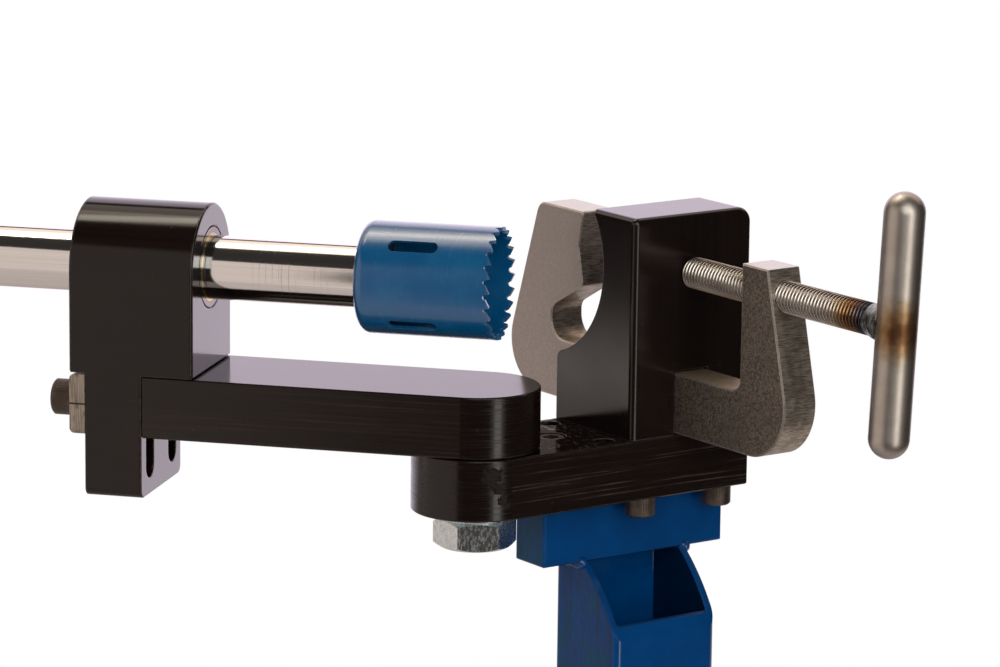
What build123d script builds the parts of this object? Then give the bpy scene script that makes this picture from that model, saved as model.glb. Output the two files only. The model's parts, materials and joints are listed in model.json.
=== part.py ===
from build123d import *
from math import cos, pi, radians, sin, sqrt, tan
import os

# Bench tube notcher, millimetres, +Z up.
# The origin is the middle of the post's lower end. The base plate lies along +X with its pivot at the
# low-X end and its vise at the high-X end. -Y is the side of the clamp handle. The swing arm is drawn
# at its rest angle.

# Clearances
slide_gap = 0.3          # between flat faces that slide past each other
running_gap = 0.05       # radial, between a turning or sliding round piece and its hole
seat_gap = 0.02          # radial, between a pressed round piece and its hole
hole_gap = 0.23          # radial, between a screw and its clearance hole

# Flat bar that the base plate and the swing arm are cut from
bar_width = 50.8
bar_thick = 24.6
edge_break = 0.5         # chamfer on the sawn and milled edges

# Base plate
base_reach = 115.6       # pivot axis to the square end
spare_hole_inset = 8.2   # row of spare holes to the vise block's low-X face

# Pivot
pivot_d = 19.05
bushing_wall = 3.2
bushing_d = pivot_d + 2 * (running_gap + bushing_wall)
shim_thick = 0.4
shim_d = 38.1
pivot_washer_d = 34.9
pivot_washer_thick = 2.5
pivot_hex_across = 28.6
pivot_hex_height = 12.3
pivot_hex_turn = 20.0    # degrees, how far the head's corners stand round from the arm
pivot_seat_thick = 0.8   # round seat between the hexagon and the washer
pivot_bolt_length = 44.45
pivot_blind_spare = 2.0  # drilled past the end of the bolt

# Swing arm
arm_reach = 129.2        # pivot axis to the arm's square end
rest_swing = 131.2       # degrees from the base plate's +X to the arm
arm_z = bar_thick + shim_thick

# Bearing block: an upper part round the spindle, a tongue down behind the arm's end
block_depth = bar_width
block_nose = 108.2       # pivot axis to the block's front face
block_length = 50.8
block_tongue_drop = 24.8  # tongue's end below the arm's underside
block_edge_round = 3.5
spindle_rise = 40.7      # spindle axis above the arm's top face
block_edge_break = 0.6

# Lock plate and its screws, which clamp the block's tongue to the arm
lock_plate_thick = 6.35
lock_plate_height = 23.8
lock_plate_round = 2.0
lock_screw_d = 9.525
lock_screw_length = 50.8
lock_spacing = 28.6
lock_slot_width = 10.3
lock_travel = 25.4       # how far the block rides up
lock_tap_spare = 4.0

# Spindle
spindle_d = 25.4
spindle_tail = 216.0     # pivot axis to the shoulder at the drill's end
shank_d = 12.7
shank_length = 38.0
stub_d = 15.875
spindle_edge = 0.8

# Needle bearings in the block
bearing_d = 31.75
bearing_length = 19.05
bearing_wall = 0.875
bearing_lip = 1.0
cage_side_gap = 0.3
cage_bar = 0.3           # cage's inset from shaft and raceway
roller_count = 22
roller_end_gap = 2.4
roller_side_gap = 0.06
seal_length = 1.6
seal_wall = 0.75
bearing_bore_break = 0.8

# Hole saw
saw_d = 44.4
saw_wall = 1.5
saw_back = 45.2          # pivot axis to the back of the saw
saw_tip = -9.9           # pivot axis to the tooth tips, past the axis
saw_cap_thick = 5.0
saw_back_round = 4.0
saw_back_hole_gap = 0.4
saw_slot_length = 20.0
saw_slot_width = 5.2
saw_slot_middle = 22.0   # pivot axis to the middle of the slots
saw_slots = 4
tooth_depth = 2.5
tooth_count = 24
tooth_rake = 0.5         # how far a tooth's face leans forward
gullet_round = 1.0       # radius of the floor between two teeth

# Vise block
vise_length = 58.4
vise_height = 88.9
saddle_radius = 39.0
saddle_wall = 20.4       # thinnest wall in front of the saddle
saddle_height = 65.7     # saddle axis above the base plate
vise_edge = 2.5
vise_end_round = 6.0
vise_shelf_round = 4.0
vise_screw_d = 7.9375
vise_screw_length = 44.45
vise_screw_spread_x = 38.1
vise_screw_spread_y = 37.0
vise_tap_spare = 3.0

# Clamp frame, cut from plate; heights are above the frame's lower edge
frame_thick = 15.9
frame_lift = 0.8         # lower edge above the base plate
frame_web = 24.4
near_inner = 41.0        # vise block's front face to the near leg
near_top_width = 16.0
near_taper = 0.2418      # outward lean of the near leg's outside, per mm of height
near_height = 75.3
near_inner_round = 5.0
near_foot_round = 22.0
far_inner = 33.9         # vise block's back face to the far leg's inside
far_height = 79.6
far_foot_out = 70.3      # vise block's back face to the far leg's square foot corner
far_taper = 0.333
far_inner_round = 8.5
far_foot_round = 20.3
far_head_round = 5.5
jaw_seat = 15.6          # vise block's back face to the bottom of the jaw's vee
jaw_vee_depth = 3.0
jaw_vee_height = 30.4
jaw_neck = 37.6          # height where the far leg turns forward to the jaw
jaw_lip_round = 1.5
frame_edge = 0.6
screw_rise = 64.4        # clamp screw axis above the frame's lower edge

# Clamp screw and its tee handle
screw_d = 12.7
screw_pitch = 1.954
screw_tip_gap = 0.02
screw_tip_chamfer = 1.2
handle_d = 15.875
handle_length = 101.6
handle_tilt = 3.0        # degrees from upright
handle_out = 125.2       # vise block's front face to the handle's axis
weld_leg = 1.0           # how far the weld stands out from the screw
weld_length = 4.5

# Mounting bar and post
bar_pivot_gap = 9.25     # between the pivot's washer and the mounting bar's end
mount_bar_width = 19.05
mount_bar_height = 26.4
bar_screw_d = 7.9375
bar_screw_length = 31.75
bar_screw_inset = 9.6    # from each end of the mounting bar
bar_screw_sink = 8.4
bar_tap_spare = 3.0
post_width = 50.8
post_depth = 41.3
post_wall = 3.18
post_corner = 3.8
post_length = 152.4
post_inset = 18.8        # mounting bar's high-X end to the post's side
post_mouth_drop = 28.2   # how far the slanted mouth reaches down the front wall
post_mouth_bulge = 2.0   # how far the mouth's edge bows out of its chord
post_weld = 4.0

# Socket head sizes as multiples of the screw's diameter
head_width_ratio = 1.5
head_socket_ratio = 0.8
head_socket_depth_ratio = 0.5
head_edge = 0.7

# Places worked out from the sizes
deck_z = post_length + mount_bar_height
mount_bar_length = base_reach - pivot_washer_d / 2 - bar_pivot_gap
bar_middle_x = base_reach - mount_bar_length / 2
post_middle_x = base_reach - post_inset - post_width / 2
post_middle_y = mount_bar_width / 2 - post_depth / 2
block_tail = block_nose + block_length
tongue_nose = arm_reach + slide_gap / 3
tongue_tail = block_tail - lock_plate_thick
arm_top = arm_z + bar_thick
shoulder_z = arm_top + slide_gap
tongue_z = arm_z - block_tongue_drop
lock_z = arm_z + bar_thick / 2
spindle_z = arm_top + spindle_rise
front_y = -bar_width / 2
back_y = bar_width / 2
vise_x = base_reach - vise_length
spare_hole_x = vise_x - spare_hole_inset
vise_middle_x = base_reach - vise_length / 2
vise_z = bar_thick
saddle_y = front_y + saddle_wall + saddle_radius
saddle_z = vise_z + saddle_height
frame_z = vise_z + frame_lift
screw_z = frame_z + screw_rise
raceway_r = bearing_d / 2 - bearing_wall
roller_r = (raceway_r - spindle_d / 2) / 2 - running_gap
roller_orbit = (raceway_r + spindle_d / 2) / 2

# Frames that the pieces are drawn in. The deck frame has its origin on the pivot axis at the base
# plate's underside. The arm frame turns with the arm, and its X runs out along it.
deck = Pos(-post_middle_x, -post_middle_y, deck_z)
arm = deck * Rot(0, 0, rest_swing)
spindle_frame = arm * Pos(0, 0, spindle_z)


def block(x0, x1, y0, y1, z0, z1):
    # A box between two corners
    return Pos((x0 + x1) / 2, (y0 + y1) / 2, (z0 + z1) / 2) * Box(x1 - x0, y1 - y0, z1 - z0)


def rod_x(radius, x0, x1):
    # A round rod along X between two stations
    return Pos((x0 + x1) / 2, 0, 0) * Rot(0, 90, 0) * Cylinder(radius, x1 - x0)


def rod_y(radius, y0, y1):
    # A round rod along Y between two stations
    return Pos(0, (y0 + y1) / 2, 0) * Rot(90, 0, 0) * Cylinder(radius, y1 - y0)


def rod_z(radius, z0, z1):
    # A round rod along Z between two heights
    return Pos(0, 0, (z0 + z1) / 2) * Cylinder(radius, z1 - z0)


def tube_x(outer, inner, x0, x1):
    return rod_x(outer, x0, x1) - rod_x(inner, x0, x1)


def edges_near(shape, keep):
    # The edges whose middle passes the test
    return [edge for edge in shape.edges() if keep(edge.center())]


def outline(corners):
    # A flat face through the corners (u, v, radius), each corner rounded by its radius
    face = make_face(Polyline([(u, v) for u, v, _ in corners], close=True))
    for u, v, radius in corners:
        if radius > 0:
            corner = face.vertices().sort_by_distance(Vector(u, v, 0))[0]
            face = fillet(corner, radius)
    return face


def cap_screw(diameter, length):
    # A socket head screw: the head stands on Z = 0 and the shank hangs below it
    head_r = diameter * head_width_ratio / 2
    head = rod_z(head_r, 0, diameter)
    head = chamfer(head.edges().group_by(Axis.Z)[-1], head_edge)
    socket_r = diameter * head_socket_ratio / sqrt(3)
    depth = diameter * head_socket_depth_ratio
    socket = Pos(0, 0, diameter - depth) * extrude(RegularPolygon(socket_r, 6), depth)
    shank = rod_z(diameter / 2, -length, 0)
    shank = chamfer(shank.edges().group_by(Axis.Z)[0], head_edge)
    return head + shank - socket


def bar_end_plate(reach, z0):
    # Flat bar along X with a half-round end about the pivot axis
    body = block(0, reach, front_y, back_y, z0, z0 + bar_thick) + rod_z(bar_width / 2, z0, z0 + bar_thick)
    flats = body.edges().filter_by(Plane.XY)
    return chamfer(flats, edge_break)


# --- The post and its bar ---------------------------------------------------------------------

def post():
    outer = RectangleRounded(post_width, post_depth, post_corner)
    inner_corner = post_corner - post_wall
    inner = RectangleRounded(post_width - 2 * post_wall, post_depth - 2 * post_wall, inner_corner)
    tube = extrude(outer - inner, post_length)
    # The mouth runs from the mounting bar's front face down to the post's front face, bowed outwards
    bar_front = Vector(post_depth / 2 - mount_bar_width, post_length)
    lip = Vector(-post_depth / 2, post_length - post_mouth_drop)
    across = (bar_front - lip).normalized()
    bow = (bar_front + lip) / 2 + Vector(-across.Y, across.X) * post_mouth_bulge
    corner = Vector(-post_depth / 2, post_length)
    above = Vector(0, post_wall)
    before = Vector(-post_wall, 0)
    mouth = make_face([
        ThreePointArc(bar_front, bow, lip),
        Polyline(lip, lip + before, corner + before + above, bar_front + above, bar_front),
    ])
    cut = extrude(Plane.YZ * mouth, post_width / 2 + post_wall, both=True)
    return tube - cut


def post_welds():
    # A fillet of weld along the outside of each side wall, under the mounting bar
    bead = make_face(Polyline([(0, 0), (post_weld, 0), (0, -post_weld)], close=True))
    run = extrude(Plane.XZ * bead, mount_bar_width - 2 * edge_break)
    run = Pos(post_width / 2, post_depth / 2 - edge_break, post_length) * run
    run -= extrude(RectangleRounded(post_width, post_depth, post_corner), post_length)
    return [run, mirror(run, about=Plane.YZ)]


def bar_screw_places():
    reach = mount_bar_length / 2 - bar_screw_inset
    return [bar_middle_x - reach, bar_middle_x + reach]


def mounting_bar():
    half = mount_bar_width / 2
    bar = block(base_reach - mount_bar_length, base_reach, -half, half, -mount_bar_height, 0)
    bar = chamfer(bar.edges(), edge_break)
    depth = bar_screw_length + bar_screw_sink + bar_tap_spare - bar_thick
    for x in bar_screw_places():
        bar -= Pos(x, 0, 0) * rod_z(bar_screw_d / 2 + seat_gap, -depth, 0)
    return deck * bar


# --- The base plate, its pivot and its vise block -----------------------------------------------

def vise_screw_places():
    dx = vise_screw_spread_x / 2
    dy = vise_screw_spread_y / 2
    return [(vise_middle_x + i * dx, j * dy) for i in (-1, 1) for j in (-1, 1)]


def base_plate():
    plate = bar_end_plate(base_reach, 0)
    plate -= rod_z(bushing_d / 2 + seat_gap, 0, bar_thick)
    sink_r = bar_screw_d * head_width_ratio / 2 + hole_gap
    for x in bar_screw_places():
        plate -= Pos(x, 0, 0) * rod_z(bar_screw_d / 2 + hole_gap, 0, bar_thick)
        plate -= Pos(x, 0, 0) * rod_z(sink_r, bar_thick - bar_screw_sink, bar_thick)
    spare = [(spare_hole_x, j * vise_screw_spread_y / 2) for j in (-1, 1)]
    for x, y in vise_screw_places() + spare:
        plate -= Pos(x, y, 0) * rod_z(vise_screw_d / 2 + hole_gap, 0, bar_thick)
    return deck * plate


def bar_screws():
    screw = cap_screw(bar_screw_d, bar_screw_length)
    return [deck * Pos(x, 0, bar_thick - bar_screw_sink) * screw for x in bar_screw_places()]


def pivot_bushing():
    ring = rod_z(bushing_d / 2, 0, bar_thick) - rod_z(pivot_d / 2 + running_gap, 0, bar_thick)
    return deck * ring


def pivot_shim():
    ring = rod_z(shim_d / 2, bar_thick, arm_z) - rod_z(pivot_d / 2 + 2 * running_gap, bar_thick, arm_z)
    return deck * ring


def vise_block():
    top = vise_z + vise_height
    shelf = saddle_z - sqrt(saddle_radius ** 2 - (back_y - saddle_y) ** 2)
    body = block(vise_x, base_reach, front_y, back_y, vise_z, top)
    tool = Pos(0, saddle_y, saddle_z) * rod_x(saddle_radius, vise_x - 1, base_reach + 1)
    over = block(vise_x - 1, base_reach + 1, saddle_y, saddle_y + bar_width, saddle_z, top + bar_width)
    body = body - tool - over
    body = fillet(edges_near(body, lambda c: abs(c.Y - back_y) < 0.1 and abs(c.Z - shelf) < 0.1),
                  vise_shelf_round)
    body = fillet(edges_near(body, lambda c: abs(c.X - base_reach) < 0.1 and abs(c.Z - top) < 0.1),
                  vise_end_round)
    front = edges_near(body, lambda c: abs(c.Y - front_y) < 0.1 and c.Z > vise_z + 1)
    left = edges_near(body, lambda c: abs(c.X - vise_x) < 0.1 and abs(c.Z - top) < 0.1)
    body = fillet(front + left, vise_edge)
    slot = frame_thick / 2 + slide_gap
    slot_top = frame_z + frame_web + frame_lift
    body -= block(vise_middle_x - slot, vise_middle_x + slot, front_y, back_y, vise_z, slot_top)
    depth = vise_screw_length - bar_thick + vise_tap_spare
    for x, y in vise_screw_places():
        body -= Pos(x, y, vise_z) * rod_z(vise_screw_d / 2 + seat_gap, 0, depth)
    return deck * body


def vise_screws():
    screw = Rot(180, 0, 0) * cap_screw(vise_screw_d, vise_screw_length)
    return [deck * Pos(x, y, 0) * screw for x, y in vise_screw_places()]


# --- The swing arm and what rides on it ----------------------------------------------------------

def lock_places():
    return [-lock_spacing / 2, lock_spacing / 2]


def swing_arm():
    plate = bar_end_plate(arm_reach, arm_z)
    square_end = edges_near(plate, lambda c: c.X > arm_reach - 0.1 and abs(c.Z - lock_z) < 0.1)
    plate = chamfer(square_end, edge_break)
    bolt_top = pivot_bolt_length - pivot_washer_thick
    plate -= rod_z(pivot_d / 2 + seat_gap, arm_z, bolt_top + pivot_blind_spare)
    tap_end = block_tail - lock_screw_length - lock_tap_spare
    for y in lock_places():
        plate -= Pos(0, y, lock_z) * rod_x(lock_screw_d / 2 + seat_gap, tap_end, arm_reach)
    return arm * plate


def pivot_bolt():
    head_top = -pivot_washer_thick
    head_low = head_top - pivot_hex_height
    hex_top = head_top - pivot_seat_thick
    # The corners of both faces are turned off at 30 degrees
    corner_r = pivot_hex_across / sqrt(3)
    hexagon = RegularPolygon(corner_r, 6, rotation=pivot_hex_turn)
    head = Pos(0, 0, head_low) * extrude(hexagon, hex_top - head_low)
    face_r = pivot_hex_across / 2 - edge_break
    slope = tan(radians(30))
    tall = pivot_hex_height + (corner_r - face_r) * slope
    cone_wide = face_r + tall / slope
    head = head & Pos(0, 0, head_low + tall / 2) * Cone(face_r, cone_wide, tall)
    head = head & Pos(0, 0, hex_top - tall / 2) * Cone(cone_wide, face_r, tall)
    head += rod_z(face_r, hex_top, head_top)
    shank = rod_z(pivot_d / 2, head_top, head_top + pivot_bolt_length)
    shank = chamfer(shank.edges().group_by(Axis.Z)[-1], 2 * edge_break)
    return arm * (head + shank)


def pivot_washer():
    ring = rod_z(pivot_washer_d / 2, -pivot_washer_thick, 0)
    ring = chamfer(ring.edges(), edge_break)
    return arm * (ring - rod_z(pivot_d / 2 + 2 * running_gap, -pivot_washer_thick, 0))


def lock_plate():
    half = lock_plate_height / 2
    plate = block(tongue_tail, block_tail, front_y, back_y, lock_z - half, lock_z + half)
    corners = plate.edges().filter_by(Axis.Y).group_by(Axis.X)[-1]
    plate = fillet(corners, lock_plate_round)
    for y in lock_places():
        plate -= Pos(0, y, lock_z) * rod_x(lock_screw_d / 2 + hole_gap, tongue_tail, block_tail)
    return arm * plate


def lock_screws():
    screw = Rot(0, 90, 0) * cap_screw(lock_screw_d, lock_screw_length)
    return [arm * Pos(block_tail, y, lock_z) * screw for y in lock_places()]


# --- The bearing block --------------------------------------------------------------------------

def bearing_block():
    upper = block(block_nose, block_tail, front_y, back_y, shoulder_z, spindle_z)
    upper += Pos(0, 0, spindle_z) * rod_x(block_depth / 2, block_nose, block_tail)
    upper = chamfer(upper.faces().filter_by(Axis.X).edges(), block_edge_break)
    tongue = block(tongue_nose, tongue_tail, front_y, back_y, tongue_z, shoulder_z)
    tongue = fillet(tongue.edges().filter_by(Axis.X).group_by(Axis.Z)[0], block_edge_round)
    tongue = chamfer(tongue.faces().filter_by(Axis.X).edges().filter_by(
        lambda edge: edge.center().Z < shoulder_z - 1), block_edge_break / 2)
    body = upper + tongue
    slot_r = lock_slot_width / 2
    for y in lock_places():
        low = lock_z - lock_travel
        body -= block(tongue_nose, tongue_tail, y - slot_r, y + slot_r, low, lock_z)
        for z in (low, lock_z):
            body -= Pos(0, y, z) * rod_x(slot_r, tongue_nose, tongue_tail)
    bore_r = bearing_d / 2 + seat_gap
    body -= Pos(0, 0, spindle_z) * rod_x(bore_r, block_nose, block_tail)
    mouths = body.edges().filter_by(GeomType.CIRCLE)
    mouths = [edge for edge in mouths if abs(edge.radius - bore_r) < seat_gap / 2]
    return arm * chamfer(mouths, bearing_bore_break)


def bearing_ends():
    # Station of each bearing's outer end, and the direction that runs into the block
    return [(block_nose, 1), (block_tail, -1)]


def between(x, way, start, end):
    # Two stations measured from a bearing's outer end, in rising order
    return sorted((x + way * start, x + way * end))


def bearing_shells():
    shells = []
    mouth = spindle_d / 2 + seal_wall + running_gap
    for x, way in bearing_ends():
        x0, x1 = between(x, way, 0, bearing_length)
        shell = tube_x(bearing_d / 2, mouth, x0, x1)
        shell -= rod_x(raceway_r, x0 + bearing_lip, x1 - bearing_lip)
        shells.append(spindle_frame * shell)
    return shells


def bearing_seals():
    outer = spindle_d / 2 + seal_wall + running_gap
    inner = spindle_d / 2 + running_gap
    return [spindle_frame * tube_x(outer, inner, *between(x, way, 0, seal_length))
            for x, way in bearing_ends()]


def roller_places():
    turn = 2 * pi / roller_count
    return [(roller_orbit * cos(i * turn), roller_orbit * sin(i * turn)) for i in range(roller_count)]


def bearing_cages():
    cages = []
    outer = raceway_r - cage_bar
    inner = spindle_d / 2 + cage_bar
    start = max(bearing_lip, seal_length) + cage_side_gap
    for x, way in bearing_ends():
        x0, x1 = between(x, way, start, bearing_length - bearing_lip - cage_side_gap)
        cage = tube_x(outer, inner, x0, x1)
        r0, r1 = between(x, way, roller_end_gap + cage_side_gap, bearing_length - roller_end_gap)
        pockets = [Pos(0, y, z) * rod_x(roller_r + roller_side_gap, r0, r1) for y, z in roller_places()]
        cages.append(spindle_frame * (cage - pockets))
    return cages


def bearing_rollers():
    rollers = []
    for x, way in bearing_ends():
        r0, r1 = between(x, way, roller_end_gap + 2 * cage_side_gap,
                         bearing_length - roller_end_gap - cage_side_gap)
        rollers += [spindle_frame * Pos(0, y, z) * rod_x(roller_r, r0, r1) for y, z in roller_places()]
    return rollers


# --- The spindle and the hole saw ---------------------------------------------------------------

def spindle():
    nose = saw_back - saw_wall
    body = rod_x(spindle_d / 2, nose, spindle_tail)
    body = chamfer(body.edges(), spindle_edge)
    shank = rod_x(shank_d / 2, spindle_tail, spindle_tail + shank_length)
    shank = chamfer(shank.edges().group_by(Axis.X)[-1], spindle_edge)
    stub = rod_x(stub_d / 2, nose - saw_cap_thick, nose)
    return spindle_frame * (body + shank + stub)


def saw_cap():
    outer = saw_d / 2 - saw_wall
    x1 = saw_back - saw_wall
    disc = rod_x(outer - seat_gap, x1 - saw_cap_thick, x1)
    disc = fillet(disc.edges().group_by(Axis.X)[-1], saw_back_round - saw_wall)
    return spindle_frame * (disc - rod_x(stub_d / 2 + seat_gap, x1 - saw_cap_thick, x1))


def saw_cup():
    outer = rod_x(saw_d / 2, saw_tip, saw_back)
    outer = fillet(outer.edges().group_by(Axis.X)[-1], saw_back_round)
    inner = rod_x(saw_d / 2 - saw_wall, saw_tip, saw_back - saw_wall)
    inner = fillet(inner.edges().group_by(Axis.X)[-1], saw_back_round - saw_wall)
    cup = outer - inner - rod_x(spindle_d / 2 + saw_back_hole_gap, saw_back - saw_wall, saw_back)
    reach = saw_d / 2 + saw_wall
    slot = extrude(Plane.XY * Pos(saw_slot_middle, 0) * SlotOverall(saw_slot_length, saw_slot_width), reach)
    cup -= [Rot(45 + 360 / saw_slots * i, 0, 0) * slot for i in range(saw_slots)]
    # One gullet lies between two tips: a steep face behind it, a long back in front, a round floor
    pitch = pi * saw_d / tooth_count
    floor_x = saw_tip + tooth_depth - gullet_round
    gullet = make_face(Polyline([
        (saw_tip - 1, 0),
        (saw_tip, 0),
        (floor_x, tooth_rake),
        (floor_x, tooth_rake + 2 * gullet_round),
        (saw_tip, pitch - tooth_rake / 2),
        (saw_tip - 1, pitch - tooth_rake / 2),
    ], close=True))
    gullet += Pos(floor_x, tooth_rake + gullet_round) * Circle(gullet_round)
    cutter = extrude(Plane.XY * gullet, reach)
    cup -= [Rot(360 / tooth_count * i, 0, 0) * cutter for i in range(tooth_count)]
    return spindle_frame * cup


# --- The clamp frame and its screw --------------------------------------------------------------

def clamp_frame():
    # Outline in Y and Z above the frame's lower edge, from the near leg's foot round to its inside
    near = front_y - near_inner
    near_out = near - near_top_width
    foot = near_out - near_taper * near_height
    seat = back_y + jaw_seat
    lip = seat - jaw_vee_depth
    far_out = back_y + far_foot_out
    face = outline([
        (foot, 0, near_foot_round),
        (far_out, 0, far_foot_round),
        (far_out - far_taper * far_height, far_height, far_head_round),
        (lip, far_height, jaw_lip_round),
        (seat, far_height - jaw_vee_height / 2, 0),
        (lip, far_height - jaw_vee_height, jaw_lip_round),
        (back_y + far_inner, jaw_neck, near_inner_round),
        (back_y + far_inner, frame_web, far_inner_round),
        (near, frame_web, near_inner_round),
        (near, near_height, 0),
        (near_out, near_height, 0),
    ])
    body = extrude(Plane.YZ * face, frame_thick / 2, both=True)
    rims = edges_near(body, lambda c: abs(abs(c.X) - frame_thick / 2) < 0.01)
    body = chamfer(rims, frame_edge)
    body -= Pos(0, 0, screw_rise) * rod_y(screw_d / 2 + running_gap, foot, near)
    return deck * Pos(vise_middle_x, 0, frame_z) * body


# The screw frame has its origin on the screw's axis at the vise block's front face
screw_frame = deck * Pos(vise_middle_x, front_y, screw_z)


def tee_handle_bar():
    straight = handle_length - handle_d
    bar = rod_z(handle_d / 2, -straight / 2, straight / 2)
    bar += [Pos(0, 0, i * straight / 2) * Sphere(handle_d / 2) for i in (-1, 1)]
    return Pos(0, -handle_out, 0) * Rot(0, handle_tilt, 0) * bar


def clamp_screw():
    rod = rod_y(screw_d / 2, -handle_out, -screw_tip_gap)
    rod = chamfer(rod.edges().group_by(Axis.Y)[-1], screw_tip_chamfer)
    return screw_frame * (rod - tee_handle_bar())


def tee_handle():
    return screw_frame * tee_handle_bar()


def handle_weld():
    # A ring of weld round the rod, thickening towards the handle
    start = handle_out - handle_d / 2 - weld_length
    ring = Cone(screw_d / 2 + weld_leg, screw_d / 2, handle_d / 2 + weld_length)
    ring = screw_frame * Pos(0, -start - (handle_d / 2 + weld_length) / 2, 0) * Rot(-90, 0, 0) * ring
    return ring - screw_frame * rod_y(screw_d / 2, -handle_out, 0) - tee_handle()


nodes = {
    "post": post,
    "post_welds": post_welds,
    "mounting_bar": mounting_bar,
    "bar_screws": bar_screws,
    "base_plate": base_plate,
    "pivot_bushing": pivot_bushing,
    "pivot_shim": pivot_shim,
    "vise_block": vise_block,
    "vise_screws": vise_screws,
    "swing_arm": swing_arm,
    "pivot_bolt": pivot_bolt,
    "pivot_washer": pivot_washer,
    "lock_plate": lock_plate,
    "lock_screws": lock_screws,
    "bearing_block": bearing_block,
    "bearing_shells": bearing_shells,
    "bearing_seals": bearing_seals,
    "bearing_cages": bearing_cages,
    "bearing_rollers": bearing_rollers,
    "spindle": spindle,
    "saw_cap": saw_cap,
    "saw_cup": saw_cup,
    "clamp_frame": clamp_frame,
    "clamp_screw": clamp_screw,
    "tee_handle": tee_handle,
    "handle_weld": handle_weld,
}

os.makedirs("parts", exist_ok=True)
for name, make in nodes.items():
    piece = make()
    if isinstance(piece, list):
        piece = Compound(piece)
    export_step(piece, f"parts/{name}.step")
    print(name, round(piece.volume, 1))
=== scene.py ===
import bpy
import json
import math
import numpy as np
from mathutils import Matrix, Vector


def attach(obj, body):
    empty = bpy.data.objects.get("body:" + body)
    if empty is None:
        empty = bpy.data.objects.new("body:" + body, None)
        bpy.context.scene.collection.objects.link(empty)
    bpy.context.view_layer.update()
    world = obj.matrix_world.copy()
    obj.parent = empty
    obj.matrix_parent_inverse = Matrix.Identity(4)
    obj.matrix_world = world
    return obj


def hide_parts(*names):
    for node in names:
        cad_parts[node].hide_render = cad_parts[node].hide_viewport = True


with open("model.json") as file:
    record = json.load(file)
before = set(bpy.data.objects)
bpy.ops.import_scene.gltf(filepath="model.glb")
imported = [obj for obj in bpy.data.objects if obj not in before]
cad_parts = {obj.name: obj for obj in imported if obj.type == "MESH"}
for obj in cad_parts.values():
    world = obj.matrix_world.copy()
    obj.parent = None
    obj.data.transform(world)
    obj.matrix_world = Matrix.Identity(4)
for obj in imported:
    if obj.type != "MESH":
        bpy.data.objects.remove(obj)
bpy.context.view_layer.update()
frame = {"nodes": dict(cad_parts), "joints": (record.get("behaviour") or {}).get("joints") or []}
nodes = frame["nodes"]
print("frame loaded:", len(nodes), "nodes")

mm = 0.001
fullTurn = 2 * np.pi
scene = bpy.context.scene

# Places that several pieces share, from the joints: the arm's pivot, the clamp screw and the spindle
jointPlaces = {joint["name"]: joint["pos_m"] for joint in frame["joints"] if "pos_m" in joint}
pivotX, pivotY = jointPlaces["arm_swing"][:2]
screwX, viseFrontY, screwZ = jointPlaces["clamp_screw_turn"]
spindleZ = jointPlaces["spindle_spin"][2]
handleY = viseFrontY - 125.2 * mm  # middle of the tee handle
armTurn = math.radians(131.2)  # the way that the swing arm points, round from +X


def feed(tree, socket, value):
    # Another node's output is linked to the socket; a number or a colour is set on it
    if isinstance(value, bpy.types.NodeSocket):
        tree.links.new(value, socket)
    else:
        socket.default_value = value


def put(tree, kind, inputs=None, **settings):
    # One node, with its own properties as settings
    made = tree.nodes.new(kind)
    for name, value in settings.items():
        setattr(made, name, value)
    for socket, value in (inputs or {}).items():
        feed(tree, made.inputs[socket], value)
    return made


def calc(tree, operation, *values):
    return put(tree, "ShaderNodeMath", dict(enumerate(values)), operation=operation).outputs[0]


def times(tree, total, *others):
    for other in others:
        total = calc(tree, "MULTIPLY", total, other)
    return total


def plus(tree, total, *others):
    for other in others:
        total = calc(tree, "ADD", total, other)
    return total


def minus(tree, value, other):
    return calc(tree, "SUBTRACT", value, other)


def scaled(tree, value, factor, base):
    # The value times the factor, plus the base
    return calc(tree, "MULTIPLY_ADD", value, factor, base)


def around(tree, value, size):
    # A change both ways: the value's distance from one half, times the size
    return times(tree, minus(tree, value, 0.5), size)


def rise(tree, value, low, high, bottom=0.0, top=1.0):
    # A soft step from bottom to top as the value goes from low to high
    made = put(tree, "ShaderNodeMapRange", {"Value": value, "From Min": low, "From Max": high,
               "To Min": bottom, "To Max": top}, interpolation_type="SMOOTHSTEP")
    return made.outputs["Result"]


def fall(tree, value, low, high):
    # A soft step down from one to nothing
    return rise(tree, value, low, high, 1.0, 0.0)


def blend(tree, amount, first, second, kind="MIX"):
    made = put(tree, "ShaderNodeMix", {"Factor": amount}, data_type="RGBA", blend_type=kind)
    for socket, value in ((made.inputs[6], first), (made.inputs[7], second)):
        feed(tree, socket, (*value, 1.0) if isinstance(value, tuple) else value)
    return made.outputs[2]


def layered(tree, colour, *layers):
    # Colours laid over the first one; each layer is a mask, its strength and a colour
    for mask, strength, over in layers:
        colour = blend(tree, times(tree, mask, strength), colour, over)
    return colour


def mapped(tree, vector, **settings):
    return put(tree, "ShaderNodeMapping", {"Vector": vector, **settings}).outputs[0]


def noise(tree, vector, scale, detail=3.0, rough=0.55):
    made = put(tree, "ShaderNodeTexNoise", {"Vector": vector, "Scale": scale, "Detail": detail,
               "Roughness": rough})
    return made.outputs["Fac"]


def lineNoise(tree, vector, scales, detail=3.0, rough=0.55):
    # Noise with a scale of its own along each axis, so that it runs in lines
    return noise(tree, mapped(tree, vector, Scale=scales), 1.0, detail, rough)


def vectorValue(tree, operation, *vectors):
    inputs = dict(enumerate(vectors))
    return put(tree, "ShaderNodeVectorMath", inputs, operation=operation).outputs["Value"]


def split(tree, vector):
    return put(tree, "ShaderNodeSeparateXYZ", {0: vector}).outputs


def faceDirection(tree):
    return put(tree, "ShaderNodeTexCoord").outputs["Normal"]


def easedNormal(tree, radius, samples=4):
    # The normal of the surface as if its edges were rounded
    return put(tree, "ShaderNodeBevel", {"Radius": radius}, samples=samples).outputs[0]


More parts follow.
